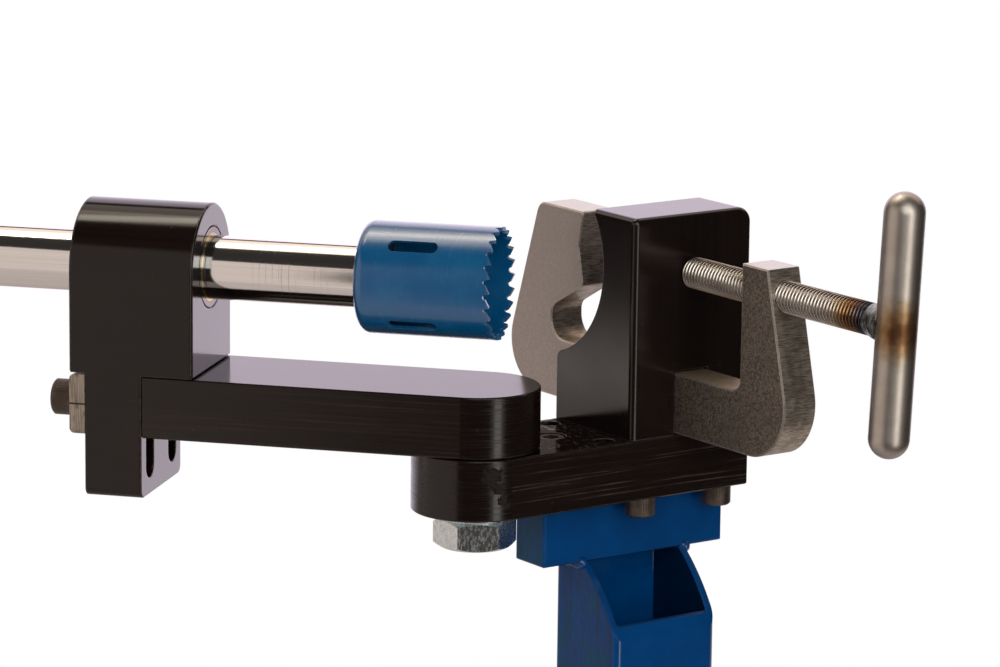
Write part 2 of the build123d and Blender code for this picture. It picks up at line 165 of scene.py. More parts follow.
def bump(tree, height, strength, distance, under=None):
    made = put(tree, "ShaderNodeBump", {"Height": height, "Strength": strength, "Distance": distance})
    if under is not None:
        tree.links.new(under, made.inputs["Normal"])
    return made.outputs[0]


def objectPoint(tree, turn=0.0, centre=(0.0, 0.0, 0.0)):
    # Object coordinates, moved to the centre and then turned about Z
    at = put(tree, "ShaderNodeTexCoord").outputs["Object"]
    moved = mapped(tree, at, Location=tuple(-part for part in centre))
    return mapped(tree, moved, Rotation=(0.0, 0.0, turn))


def unrolled(tree, radius):
    # The spindle's skin laid flat: X along its axis from the pivot, Y the length round it
    at = objectPoint(tree, -armTurn, (pivotX, pivotY, spindleZ))
    x, y, z = split(tree, at)
    length = times(tree, calc(tree, "ARCTAN2", z, y), radius)
    return at, x, put(tree, "ShaderNodeCombineXYZ", {"X": x, "Y": length}).outputs[0]


def newGroup(name, inputs, outputs):
    # Each input has its value, or None for a vector; the outputs are single numbers
    tree = bpy.data.node_groups.new(name, "ShaderNodeTree")
    for label, value in inputs.items():
        kind = "NodeSocketVector" if value is None else "NodeSocketFloat"
        made = tree.interface.new_socket(label, in_out="INPUT", socket_type=kind)
        if value is not None:
            made.default_value = value
    for label in outputs:
        tree.interface.new_socket(label, in_out="OUTPUT", socket_type="NodeSocketFloat")
    return tree, tree.nodes.new("NodeGroupInput").outputs, tree.nodes.new("NodeGroupOutput").inputs


def use(tree, group, **inputs):
    made = tree.nodes.new("ShaderNodeGroup")
    made.node_tree = group
    for name, value in inputs.items():
        feed(tree, made.inputs[name], value)
    return made.outputs


def makeEdgeMask():
    # Mask along the edges: where the eased normal leaves the true one, broken up by noise. The finishes use
    # it for wear, and some of them also for a painted highlight along the edges
    effect = {"Vector": None, "Radius": 0.6 * mm, "Breakup": 900.0, "Reach": 0.5}
    fade = 0.12
    tree, given, result = newGroup("edgeMask", effect, ["Mask"])
    true = put(tree, "ShaderNodeNewGeometry").outputs["Normal"]
    away = minus(tree, 1.0, vectorValue(tree, "DOT_PRODUCT", easedNormal(tree, given["Radius"]), true))
    patches = noise(tree, given["Vector"], given["Breakup"], 4.0, 0.65)
    least = times(tree, minus(tree, 1.0, given["Reach"]), patches)
    tree.links.new(rise(tree, away, least, plus(tree, least, fade)), result["Mask"])
    return tree


def makeBrushing():
    # Lines along the vector's X: noise squeezed across them, fine and coarse
    effect = {"Vector": None, "Along": 25.0, "Across": 5200.0}
    tree, given, result = newGroup("brushing", effect, ["Fine", "Coarse"])
    for label, share, detail in (("Fine", 1.0, 3.0), ("Coarse", 0.16, 4.0)):
        across = times(tree, given["Across"], share)
        squeeze = put(tree, "ShaderNodeCombineXYZ", {"X": given["Along"], "Y": across, "Z": across})
        lines = put(tree, "ShaderNodeVectorMath", {0: given["Vector"], 1: squeeze.outputs[0]},
                    operation="MULTIPLY").outputs[0]
        tree.links.new(noise(tree, lines, 1.0, detail, 0.6), result[label])
    return tree


def makeScratches():
    # Thin stray lines: the narrow band where a stretched noise crosses its middle, at two angles
    effect = {"Vector": None, "Scale": 60.0, "Width": 0.012, "Amount": 0.4}
    angles = ((0.35, 0.0), (-0.9, 3.7))  # turn and shift of each set of lines
    tree, given, result = newGroup("scratches", effect, ["Mask"])
    total = 0.0
    for turn, shift in angles:
        turned = mapped(tree, given["Vector"], Location=(shift, shift, shift),
                        Rotation=(turn, turn * 1.7, turn * 0.6), Scale=(1.0, 0.16, 1.0))
        field = noise(tree, turned, given["Scale"], 1.5, 0.4)
        line = fall(tree, calc(tree, "ABSOLUTE", minus(tree, field, 0.5)), 0.0, given["Width"])
        least = minus(tree, 0.72, times(tree, given["Amount"], 0.3))
        some = rise(tree, noise(tree, turned, times(tree, given["Scale"], 2.3), 2.0), least, 0.75)
        total = calc(tree, "MAXIMUM", total, times(tree, line, some))
    tree.links.new(total, result["Mask"])
    return tree


def makeMottle():
    # Cloudy variation and a fine grain, each about one half in the middle
    effect = {"Vector": None, "Scale": 60.0}
    tree, given, result = newGroup("mottle", effect, ["Clouds", "Grain"])
    grainScale = times(tree, given["Scale"], 26.0)
    tree.links.new(noise(tree, given["Vector"], given["Scale"], 4.0, 0.6), result["Clouds"])
    tree.links.new(noise(tree, given["Vector"], grainScale, 3.0, 0.7), result["Grain"])
    return tree


def makeSpecks():
    # Sparse pale dust specks: the hearts of a few random cells
    effect = {"Vector": None, "Scale": 260.0, "Size": 0.05}
    tree, given, result = newGroup("specks", effect, ["Mask"])
    cells = put(tree, "ShaderNodeTexVoronoi", {"Vector": given["Vector"], "Scale": given["Scale"]})
    pick = put(tree, "ShaderNodeSeparateColor", {0: cells.outputs["Color"]}).outputs[0]
    size = times(tree, given["Size"], rise(tree, pick, 0.82, 1.0))
    tree.links.new(calc(tree, "LESS_THAN", cells.outputs["Distance"], size), result["Mask"])
    return tree


edgeMask = makeEdgeMask()
brushing = makeBrushing()
scratches = makeScratches()
mottle = makeMottle()
specks = makeSpecks()
print("shared effects made")


def newFinish(name, **fixed):
    # A material with one Principled shader; fixed values go on the shader's own sockets
    made = bpy.data.materials.new(name)
    made.use_nodes = True
    tree = made.node_tree
    shader = tree.nodes["Principled BSDF"]
    for socket, value in fixed.items():
        shader.inputs[socket.replace("_", " ")].default_value = value
    return made, tree, shader


def wire(tree, shader, **outputs):
    for socket, value in outputs.items():
        tree.links.new(value, shader.inputs[socket.replace("_", " ")])


def wetSpots(tree, along, level, under):
    # Lumps of grease on the plate's round end and drops of cutting oil on its upper face
    wet = {"grease": (((-8.4 * mm, -24.0 * mm, 196.6 * mm), 4.0 * mm),  # middle and reach of each spot
                      ((-5.8 * mm, -24.7 * mm, 192.5 * mm), 2.6 * mm),
                      ((-3.7 * mm, -25.1 * mm, 187.0 * mm), 2.4 * mm)),
           "ragged": 9.0 * mm, "lump": 3.0, "high": 0.5 * mm,
           "oilFrom": (16.0 * mm, 30.0 * mm), "oilTo": (60.0 * mm, 75.0 * mm)}
    grease = 0.0
    for middle, reach in wet["grease"]:
        away = vectorValue(tree, "DISTANCE", along, middle)
        away = plus(tree, away, around(tree, noise(tree, along, 420.0, 4.0, 0.6), wet["ragged"]))
        grease = calc(tree, "MAXIMUM", grease, fall(tree, away, 0.7 * reach, reach))
    lumps = times(tree, grease, noise(tree, along, 900.0, 3.0, 0.7), wet["lump"])
    x = split(tree, along)["X"]
    zone = times(tree, rise(tree, x, *wet["oilFrom"]), fall(tree, x, *wet["oilTo"]),
                 rise(tree, level, 0.9, 0.99))
    drops = times(tree, rise(tree, noise(tree, along, 420.0, 2.0, 0.5), 0.60, 0.66), zone)
    return drops, bump(tree, plus(tree, drops, lumps), 1.0, wet["high"], under)


def anodised(name, turn, **changes):
    # Black anodised bar: brown-black dye over brushed lines, dust, and paler edges, which stand for wear
    # and are also a painted highlight along the edges
    look = {
        "dye": (0.0090, 0.0050, 0.0042), "brown": (0.0190, 0.0120, 0.0095), "edge": (0.55, 0.49, 0.41),
        "streak": (0.105, 0.080, 0.064), "dust": (0.4, 0.37, 0.35),
        "rough": 0.22, "smooth": 0.12,  # roughness of brushed and of machined faces
        "gloss": 1.42,  # index of refraction
        "soft": 0.6 * mm,  # radius of the eased edges
        "brushed": 1.0, "lines": 1.0,  # how brushed the upright faces are, and how deep the lines
        "streaks": 0.0, "bare": 0.3,  # pale streaks, and how pale the edges are: wear and a painted edge highlight
        "endGloss": 0.0,  # a coat on the faces across the bar
        "upright": False,  # the lines run up the piece
        "roundEnd": False,  # the end past the pivot was turned on a mill
        "oil": False}
    look.update(changes)
    made, tree, shader = newFinish(name, IOR=look["gloss"])
    along = objectPoint(tree, -turn, (pivotX, pivotY, 0.0))
    grain = mapped(tree, along, Rotation=(0.0, math.pi / 2, 0.0)) if look["upright"] else along
    brush = use(tree, brushing, Vector=grain, Along=13.0)
    cloud = use(tree, mottle, Vector=along, Scale=45.0)
    edgeZone = use(tree, edgeMask, Vector=along, Radius=0.8 * mm, Reach=0.62)["Mask"]
    stray = use(tree, scratches, Vector=along, Scale=70.0, Width=0.008, Amount=0.3)["Mask"]
    dust = use(tree, specks, Vector=along)["Mask"]
    level = calc(tree, "ABSOLUTE", split(tree, faceDirection(tree))["Z"])
    wall = fall(tree, level, 0.5, 0.9)  # 1 on the upright faces
    brushed = times(tree, wall, look["brushed"])
    roughness = [around(tree, cloud["Clouds"], 0.08), around(tree, brush["Fine"], 0.10),
                 times(tree, edgeZone, 0.16)]
    if look["roundEnd"]:  # smooth there, with lines that run round
        past = fall(tree, split(tree, along)["X"], -0.4 * mm, 0.4 * mm)
        rings = minus(tree, lineNoise(tree, along, (45.0, 45.0, 2600.0), 4.0, 0.7), 0.42)
        roughness.append(times(tree, rings, wall, past))
        brushed = times(tree, brushed, minus(tree, 1.0, past))
    roughness.append(scaled(tree, brushed, look["rough"] - look["smooth"], look["smooth"]))
    tone = times(tree, rise(tree, brush["Coarse"], 0.35, 0.75), brushed)
    patches = rise(tree, cloud["Clouds"], 0.35, 0.62)
    bold = times(tree, rise(tree, brush["Coarse"], 0.56, 0.74), patches, brushed)
    # The edge colour is laid on along the edges, for wear and as a painted highlight along them
    colour = layered(tree, look["dye"], (tone, 1.0, look["brown"]), (bold, look["streaks"], look["streak"]),
                     (edgeZone, look["bare"], look["edge"]), (stray, 0.04, look["edge"]),
                     (dust, 0.35, look["dust"]))
    if look["endGloss"]:
        across = split(tree, mapped(tree, faceDirection(tree), Rotation=(0.0, 0.0, -turn)))["X"]
        coat = rise(tree, calc(tree, "ABSOLUTE", across), 0.85, 0.95, 0.0, look["endGloss"])
        wire(tree, shader, Coat_Weight=coat)
    eased = easedNormal(tree, look["soft"])
    if look["oil"]:
        drops, eased = wetSpots(tree, along, level, eased)
        roughness.append(times(tree, drops, -0.12))
    height = times(tree, plus(tree, brush["Fine"], times(tree, brush["Coarse"], 1.5)),
                   scaled(tree, brushed, 0.95, 0.05))
    height = minus(tree, height, times(tree, stray, 0.8))
    wire(tree, shader, Base_Color=colour, Roughness=plus(tree, *roughness),
         Normal=bump(tree, height, 0.2 * look["lines"], 0.02 * mm, eased))
    return made


def blueEnamel():
    # Thick gloss paint on the post and its bar, dulled and scuffed in upright streaks on the low-X side,
    # with painted shade on the high-X wall inside the bore
    look = {"blue": (0.0, 0.075, 0.285), "deep": (0.0, 0.058, 0.225), "scuff": (0.045, 0.050, 0.055),
            "teal": (0.0, 0.085, 0.13), "edge": (0.10, 0.22, 0.36), "dark": (0.0, 0.008, 0.020),
            "rough": 0.24, "scuffRough": 0.26, "coat": 0.95, "edgeRadius": 1.8 * mm,
            "lowSideEnd": (-20.0 * mm, -10.0 * mm),
            "boreEnds": ((22.5 * mm, 23.2 * mm), (17.7 * mm, 18.5 * mm), (151.5 * mm, 152.3 * mm))}
    made, tree, shader = newFinish("blueEnamel", IOR=1.22, Coat_IOR=1.5, Coat_Roughness=0.05)
    at = objectPoint(tree)
    turned = mapped(tree, at, Rotation=(0.0, math.pi / 2, 0.0))
    streak = use(tree, brushing, Vector=turned, Along=14.0, Across=1900.0)
    cloud = use(tree, mottle, Vector=at, Scale=38.0)
    edgeZone = use(tree, edgeMask, Vector=at, Radius=0.7 * mm, Reach=0.45)["Mask"]
    facing = split(tree, faceDirection(tree))["X"]
    x, y, z = split(tree, at)
    left = times(tree, fall(tree, facing, -0.95, -0.6), fall(tree, x, *look["lowSideEnd"]))
    scuffed = times(tree, left, rise(tree, streak["Coarse"], 0.36, 0.66))
    patch = times(tree, left, rise(tree, noise(tree, at, 55.0, 3.0), 0.52, 0.64))
    boreShade = rise(tree, facing, -0.9, -0.5, 0.88, 0.0)  # painted shade: the bore's high-X wall, which faces away from the light, is darkened
    for place, end in zip((calc(tree, "ABSOLUTE", x), calc(tree, "ABSOLUTE", y), z), look["boreEnds"]):
        boreShade = times(tree, boreShade, fall(tree, place, *end))
    colour = blend(tree, rise(tree, cloud["Clouds"], 0.3, 0.7), look["deep"], look["blue"])
    colour = layered(tree, colour, (scuffed, 0.42, look["scuff"]), (patch, 0.5, look["teal"]),
                     (edgeZone, 0.10, look["edge"]), (boreShade, 1.0, look["dark"]))
    rough = plus(tree, scaled(tree, scuffed, look["scuffRough"], look["rough"]),
                 around(tree, cloud["Grain"], 0.08))
    height = plus(tree, cloud["Clouds"], times(tree, streak["Coarse"], left, 0.25))
    eased = easedNormal(tree, look["edgeRadius"], samples=6)
    wire(tree, shader, Base_Color=colour, Roughness=rough, Normal=bump(tree, height, 0.2, 0.5 * mm, eased),
         Coat_Weight=scaled(tree, left, -0.85, look["coat"]))
    return made


def sawEnamel():
    # Mid blue lacquer with fine scratches round the saw, bright steel where teeth and edges are rubbed
    look = {"blue": (0.0, 0.110, 0.300), "pale": (0.005, 0.155, 0.36), "steel": (0.56, 0.58, 0.60),
            "scratch": (0.12, 0.28, 0.48), "dust": (0.45, 0.55, 0.66), "rough": 0.20,
            "radius": 22.2 * mm, "rubbedTo": -10.2 * mm, "lacquerFrom": -8.0 * mm}
    made, tree, shader = newFinish("sawEnamel", IOR=1.5, Coat_Weight=1.0, Coat_IOR=1.5, Coat_Roughness=0.22)
    at, x, skin = unrolled(tree, look["radius"])
    cloud = use(tree, mottle, Vector=at, Scale=70.0)
    edgeZone = use(tree, edgeMask, Vector=at, Radius=0.35 * mm, Breakup=1500.0, Reach=0.75)["Mask"]
    stray = use(tree, scratches, Vector=skin, Scale=120.0, Width=0.010, Amount=0.8)["Mask"]
    dust = use(tree, specks, Vector=at, Scale=420.0)["Mask"]
    rings = lineNoise(tree, skin, (2600.0, 26.0, 1.0), 3.0, 0.6)
    teeth = fall(tree, x, look["rubbedTo"], look["lacquerFrom"])
    rubbed = times(tree, rise(tree, cloud["Grain"], 0.52, 0.62), teeth, 0.5)
    bare = calc(tree, "MAXIMUM", times(tree, edgeZone, scaled(tree, teeth, 0.55, 0.35)), rubbed)
    colour = layered(tree, look["blue"], (rise(tree, cloud["Clouds"], 0.38, 0.75), 0.55, look["pale"]),
                     (stray, 0.16, look["scratch"]), (dust, 0.5, look["dust"]), (bare, 1.0, look["steel"]))
    rough = plus(tree, scaled(tree, cloud["Clouds"], 0.12, look["rough"]), around(tree, rings, 0.10))
    height = minus(tree, times(tree, rings, 0.5), plus(tree, stray, times(tree, bare, 0.6)))
    wire(tree, shader, Base_Color=colour, Metallic=bare, Roughness=rough,
         Normal=bump(tree, height, 0.22, 0.06 * mm))
    return made


def groundShaft():
    # Mirror bright round bar: fine lines round it, drawn lines along it, and rings rubbed by a stop
    look = {"steel": (0.80, 0.79, 0.775), "dull": (0.36, 0.34, 0.32), "drawn": (0.62, 0.56, 0.50),
            "rough": 0.075, "rubbedRough": 0.14, "radius": 12.7 * mm,
            "ringsFrom": (73.0 * mm, 77.0 * mm), "ringsTo": (86.0 * mm, 90.0 * mm),
            "ringWave": 1180.0}  # radians per metre
    made, tree, shader = newFinish("groundShaft", Metallic=1.0)
    x, skin = unrolled(tree, look["radius"])[1:]
    fine = lineNoise(tree, skin, (4200.0, 30.0, 1.0))
    faint = lineNoise(tree, skin, (760.0, 3.0, 1.0), 3.0, 0.7)
    faint = times(tree, rise(tree, faint, 0.55, 0.66), rise(tree, noise(tree, skin, 24.0, 2.0), 0.50, 0.66))
    # The stop's rings lie where a wave along the bar, a little unsteady, passes zero
    unsteady = plus(tree, x, times(tree, noise(tree, skin, 90.0), 0.6 * mm))
    wave = calc(tree, "ABSOLUTE", calc(tree, "SINE", times(tree, unsteady, look["ringWave"])))
    zone = times(tree, rise(tree, x, *look["ringsFrom"]), fall(tree, x, *look["ringsTo"]))
    rings = times(tree, fall(tree, wave, 0.0, 0.16), zone, rise(tree, noise(tree, skin, 60.0), 0.30, 0.55))
    rubbed = calc(tree, "MAXIMUM", faint, rings)
    along = lineNoise(tree, skin, (9.0, 1900.0, 1.0), 4.0, 0.7)
    colour = layered(tree, look["steel"], (rubbed, 0.5, look["dull"]),
                     (rise(tree, along, 0.40, 0.72), 0.45, look["drawn"]))
    rough = plus(tree, scaled(tree, rubbed, look["rubbedRough"], look["rough"]), times(tree, fine, 0.05))
    height = plus(tree, fine, times(tree, along, 0.5))
    wire(tree, shader, Base_Color=colour, Roughness=rough, Normal=bump(tree, height, 0.10, 0.03 * mm))
    return made


def turnedMetal(name, colour, shade, rough):
    # Machined metal with cloudy tarnish, a fine grain and paler edges
    look = {"grain": 0.12, "edge": tuple(min(1.0, part * 1.5 + 0.06) for part in colour)}
    made, tree, shader = newFinish(name, Metallic=1.0)
    at = objectPoint(tree)
    cloud = use(tree, mottle, Vector=at, Scale=60.0)
    brush = use(tree, brushing, Vector=at, Along=120.0, Across=4200.0)
    edgeZone = use(tree, edgeMask, Vector=at, Radius=0.4 * mm, Reach=0.6)["Mask"]
    tint = layered(tree, colour, (rise(tree, cloud["Clouds"], 0.35, 0.7), 1.0, shade),
                   (edgeZone, 0.5, look["edge"]))
    grain = around(tree, brush["Fine"], look["grain"])
    grain = plus(tree, grain, around(tree, cloud["Grain"], look["grain"]))
    wire(tree, shader, Base_Color=tint, Roughness=plus(tree, grain, rough),
         Normal=bump(tree, plus(tree, brush["Fine"], cloud["Grain"]), 0.18, 0.05 * mm))
    return made


def blackOxide(name, upright):
    # Dark brown-black screws; the knurl round the head is a wave of the direction that the face points
    look = {"dark": (0.075, 0.058, 0.046), "worn": (0.135, 0.108, 0.088), "edge": (0.34, 0.30, 0.26),
            "knurls": 44.0, "rough": 0.30}
    made, tree, shader = newFinish(name, Metallic=0.75)
    at = objectPoint(tree)
    direction = mapped(tree, faceDirection(tree), Rotation=(0.0, 0.0, 0.0 if upright else -armTurn))
    x, y, z = split(tree, direction)
    angle = calc(tree, "ARCTAN2", y, x) if upright else calc(tree, "ARCTAN2", z, y)
    side = fall(tree, calc(tree, "ABSOLUTE", z if upright else x), 0.1, 0.4)
    knurl = times(tree, calc(tree, "SINE", times(tree, angle, look["knurls"])), side)
    cloud = use(tree, mottle, Vector=at, Scale=160.0)
    edgeZone = use(tree, edgeMask, Vector=at, Radius=0.5 * mm, Reach=0.6)["Mask"]
    tint = layered(tree, look["dark"], (rise(tree, cloud["Clouds"], 0.35, 0.7), 1.0, look["worn"]),
                   (edgeZone, 0.5, look["edge"]))
    height = times(tree, plus(tree, knurl, cloud["Grain"]), 0.5)
    wire(tree, shader, Base_Color=tint, Roughness=scaled(tree, cloud["Grain"], 0.25, look["rough"]),
         Normal=bump(tree, height, 0.5, 0.12 * mm))
    return made


def blastedSteel():
    # Clamp frame: bead blasted mottled flats, brighter brushed rims, edges paled for wear and as a painted
    # highlight, and painted light: a lightened far leg, warmer upward faces and pale topmost faces
    look = {"dark": (0.070, 0.057, 0.045), "mid": (0.43, 0.375, 0.32), "cloud": (0.17, 0.145, 0.12),
            "farLegPaintedLight": (0.90, 0.82, 0.75), "rim": (0.66, 0.59, 0.50), "rimDark": (0.24, 0.20, 0.165),
            "rimCross": (0.20, 0.165, 0.13), "upper": (1.0, 0.78, 0.50), "top": (0.67, 0.66, 0.61),
            "edge": (0.95, 0.90, 0.80), "rough": 0.36,
            "farLegFrom": (20.0 * mm, 60.0 * mm), "topFrom": (270.0 * mm, 272.0 * mm)}  # along Y and Z
    made, tree, shader = newFinish("blastedSteel", Metallic=0.85)
    at = objectPoint(tree)
    place = split(tree, at)
    facing = split(tree, faceDirection(tree))
    flat = rise(tree, calc(tree, "ABSOLUTE", facing["X"]), 0.6, 0.8)
    above = rise(tree, facing["Z"], 0.9, 0.97)
    pits = noise(tree, at, 3600.0, 2.0, 0.8)
    specked = plus(tree, times(tree, pits, 0.55), times(tree, noise(tree, at, 900.0, 5.0, 0.75), 0.45))
    cloud = use(tree, mottle, Vector=at, Scale=34.0)
    edgeZone = use(tree, edgeMask, Vector=at, Radius=1.2 * mm, Reach=0.86)["Mask"]
    # Painted light: from Y 20 to 60 mm on, the far leg is blended toward a pale colour, standing in for
    # light that the near part, beside the black vise block, does not get
    farLegPaintedLight = rise(tree, place["Y"], *look["farLegFrom"])
    blasted = layered(tree, look["dark"], (rise(tree, specked, 0.42, 0.60), 1.0, look["mid"]),
                      (rise(tree, cloud["Clouds"], 0.4, 0.7), 0.35, look["cloud"]),
                      (farLegPaintedLight, 0.55, look["farLegPaintedLight"]))
    lines = lineNoise(tree, at, (210.0, 1900.0, 1900.0), 4.0, 0.7)
    cross = noise(tree, at, 130.0, 3.0, 0.6)
    # Painted light: upward faces are tinted warm and the topmost upward faces are painted pale, standing in
    # for the light and the pale reflection from above
    top = times(tree, above, rise(tree, place["Z"], *look["topFrom"]))
    brushed = layered(tree, look["rimDark"], (rise(tree, lines, 0.34, 0.60), 1.0, look["rim"]),
                      (rise(tree, cross, 0.45, 0.66), 0.5, look["rimCross"]), (above, 0.42, look["upper"]),
                      (top, 1.0, look["top"]))
    # The edges are paled for wear and as a painted highlight along the rims
    tint = layered(tree, blend(tree, flat, brushed, blasted), (edgeZone, 0.8, look["edge"]))
    rough = plus(tree, times(tree, flat, 0.10), scaled(tree, lines, 0.16, look["rough"]))
    rimHeight = times(tree, plus(tree, lines, times(tree, cross, 0.6)), minus(tree, 1.0, flat))
    height = plus(tree, times(tree, pits, flat, 1.2), rimHeight)
    wire(tree, shader, Base_Color=tint, Roughness=rough, Normal=bump(tree, height, 0.30, 0.16 * mm))
    return made


def heatTint(tree, at, centre, spread, wobble, stops):
    # Colours by distance from a weld, as a share of the spread; stops are rows of share and colour
    near = vectorValue(tree, "DISTANCE", at, centre)
    uneven = around(tree, noise(tree, at, 260.0, 3.0), spread * wobble)
    ramp = put(tree, "ShaderNodeValToRGB", {"Fac": calc(tree, "DIVIDE", plus(tree, near, uneven), spread)})
    bands = ramp.color_ramp.elements
    for band, (share, colour) in zip(bands, (stops[0], stops[-1])):
        band.position, band.color = share, (*colour, 1.0)
    for share, colour in stops[1:-1]:
        bands.new(share).color = (*colour, 1.0)
    return ramp.outputs["Color"]


def screwSteel():
    # Rolled thread: bright crests, roots darkened for grime and as painted shade between the crests, heat
    # tint towards the weld
    look = {"steel": (0.70, 0.65, 0.59), "shade": (0.60, 0.57, 0.53), "rootGrimeAndShade": (0.05, 0.04, 0.033),
            "tints": ((0.0, (0.10, 0.10, 0.10)), (0.34, (0.070, 0.075, 0.095)), (0.46, (0.17, 0.12, 0.10)),
                      (0.60, (0.33, 0.17, 0.07)), (0.78, (0.50, 0.36, 0.21))),
            "tintReach": 26.0 * mm, "rootRadius": 5.3 * mm, "crestRadius": 6.0 * mm, "rough": 0.16}
    made, tree, shader = newFinish("screwSteel", Metallic=1.0)
    at = objectPoint(tree)
    off = split(tree, objectPoint(tree, 0.0, (screwX, 0.0, screwZ)))
    squares = plus(tree, times(tree, off["X"], off["X"]), times(tree, off["Z"], off["Z"]))
    radius = calc(tree, "SQRT", squares)
    root = fall(tree, radius, look["rootRadius"], look["crestRadius"])
    cloud = use(tree, mottle, Vector=at, Scale=90.0)
    tint = heatTint(tree, at, (screwX, handleY + 9.0 * mm, screwZ), look["tintReach"], 0.35,
                    (*look["tints"], (1.0, look["steel"])))
    tint = blend(tree, rise(tree, cloud["Clouds"], 0.35, 0.7, 0.0, 0.4), tint, look["shade"], "MULTIPLY")
    # Painted shade together with grime: the thread's roots are darkened
    tint = layered(tree, tint, (root, 1.0, look["rootGrimeAndShade"]))
    wire(tree, shader, Base_Color=tint, Roughness=scaled(tree, cloud["Grain"], 0.16, look["rough"]),
         Normal=bump(tree, cloud["Clouds"], 0.10, 0.05 * mm))
    return made


def handleSteel():
    # Satin bar with fine lines round it and heat tint opposite the weld
    look = {"steel": (0.52, 0.48, 0.43), "white": (1.0, 1.0, 1.0), "shade": (0.74, 0.72, 0.70),
            "tints": ((0.0, (0.13, 0.060, 0.028)), (0.22, (0.19, 0.092, 0.042)),
                      (0.42, (0.31, 0.185, 0.095)), (0.62, (0.39, 0.29, 0.19)), (0.82, (0.46, 0.40, 0.33))),
            "tintShift": (-4.3 * mm, -6.7 * mm, -1.0 * mm),  # from the handle's middle to its visible front
            "tintReach": 15.0 * mm, "rough": 0.29}
    made, tree, shader = newFinish("handleSteel", Metallic=1.0)
    at = objectPoint(tree)
    tinted = tuple(Vector((screwX, handleY, screwZ)) + Vector(look["tintShift"]))
    tint = heatTint(tree, at, tinted, look["tintReach"], 0.6, (*look["tints"], (1.0, look["steel"])))
    cloud = use(tree, mottle, Vector=at, Scale=110.0)
    lines = lineNoise(tree, at, (160.0, 160.0, 3600.0))
    shade = layered(tree, look["white"], (rise(tree, cloud["Clouds"], 0.35, 0.7), 0.45, look["shade"]))
    rough = plus(tree, scaled(tree, cloud["Grain"], 0.16, look["rough"]), times(tree, lines, 0.08))
    wire(tree, shader, Base_Color=blend(tree, 1.0, tint, shade, "MULTIPLY"), Roughness=rough,
         Normal=bump(tree, plus(tree, lines, cloud["Grain"]), 0.22, 0.05 * mm))
    return made


def weldSteel():
    # Grey weld metal, smoother where it is dark
    look = {"dark": (0.10, 0.11, 0.105), "pale": (0.30, 0.315, 0.295), "rough": 0.18}
    made, tree, shader = newFinish("weldSteel", Metallic=0.9)
    clouds = use(tree, mottle, Vector=objectPoint(tree), Scale=240.0)["Clouds"]
    tint = blend(tree, rise(tree, clouds, 0.35, 0.65), look["dark"], look["pale"])
    wire(tree, shader, Base_Color=tint, Roughness=scaled(tree, clouds, 0.25, look["rough"]),
         Normal=bump(tree, clouds, 0.3, 0.1 * mm))
    return made


def zincPlate():
    # Bright zinc with a bluish cast, dulled in patches
    look = {"zinc": (0.90, 0.95, 0.96), "dull": (0.58, 0.64, 0.66), "cloud": (0.60, 0.68, 0.72),
            "edge": (0.85, 0.88, 0.90), "rough": 0.16, "dullRough": 0.20}
    made, tree, shader = newFinish("zincPlate", Metallic=1.0)
    at = objectPoint(tree)
    cloud = use(tree, mottle, Vector=at, Scale=130.0)
    edgeZone = use(tree, edgeMask, Vector=at, Radius=0.5 * mm, Reach=0.7)["Mask"]
    slanted = mapped(tree, at, Rotation=(0.0, 0.6, 0.5), Scale=(1.0, 1.0, 0.35))
    patch = rise(tree, noise(tree, slanted, 1250.0, 3.0, 0.65), 0.40, 0.68)
    tint = layered(tree, look["zinc"], (patch, 1.0, look["dull"]),
                   (rise(tree, cloud["Clouds"], 0.45, 0.7), 0.5, look["cloud"]), (edgeZone, 0.5, look["edge"]))
    height = plus(tree, cloud["Clouds"], times(tree, patch, 0.35))
    wire(tree, shader, Base_Color=tint, Roughness=scaled(tree, patch, look["dullRough"], look["rough"]),
         Normal=bump(tree, height, 0.3, 0.1 * mm))
    return made


def milledPlate():
    # Sawn steel with upright machining lines and a dark scribed line at the lock plate's middle
    look = {"dark": (0.20, 0.165, 0.13), "pale": (0.56, 0.50, 0.43), "stain": (0.12, 0.095, 0.075),
            "mark": (0.05, 0.04, 0.035), "markHeight": 216.1 * mm, "markWidth": (0.2 * mm, 0.5 * mm),
            "rough": 0.28}
    made, tree, shader = newFinish("milledPlate", Metallic=0.9)
    at = objectPoint(tree, -armTurn, (pivotX, pivotY, look["markHeight"]))
    lines = lineNoise(tree, at, (2600.0, 2600.0, 70.0), 4.0, 0.65)
    stain = rise(tree, lineNoise(tree, at, (420.0, 420.0, 160.0)), 0.52, 0.66)
    mark = fall(tree, calc(tree, "ABSOLUTE", split(tree, at)["Z"]), *look["markWidth"])
    tint = layered(tree, look["dark"], (rise(tree, lines, 0.32, 0.68), 1.0, look["pale"]),
                   (stain, 0.7, look["stain"]), (mark, 1.0, look["mark"]))
    wire(tree, shader, Base_Color=tint, Roughness=scaled(tree, lines, 0.2, look["rough"]),
         Normal=bump(tree, minus(tree, lines, mark), 0.4, 0.1 * mm))
    return made


def gridMesh(name, points, closed):
    # A mesh from a rows x columns grid of points whose columns wrap round. closed says which ends, the
    # first row and the last, get a pole point at their middle, so that the surface has no hole
    rows, columns = points.shape[:2]
    index = np.arange(rows * columns).reshape(rows, columns)
    after = np.roll(index, -1, axis=1)
    faces = np.stack([index[:-1], after[:-1], after[1:], index[1:]], axis=-1).reshape(-1, 4).tolist()
    verts = points.reshape(-1, 3)
    for ends, row, first, second in ((closed[0], 0, after, index), (closed[1], -1, index, after)):
        if ends:
            pole = np.full(columns, len(verts))
            faces += np.stack([first[row], second[row], pole], axis=-1).tolist()
            verts = np.vstack([verts, points[row].mean(axis=0)])
    mesh = bpy.data.meshes.new(name)
    mesh.from_pydata(verts.tolist(), [], faces)
    return mesh


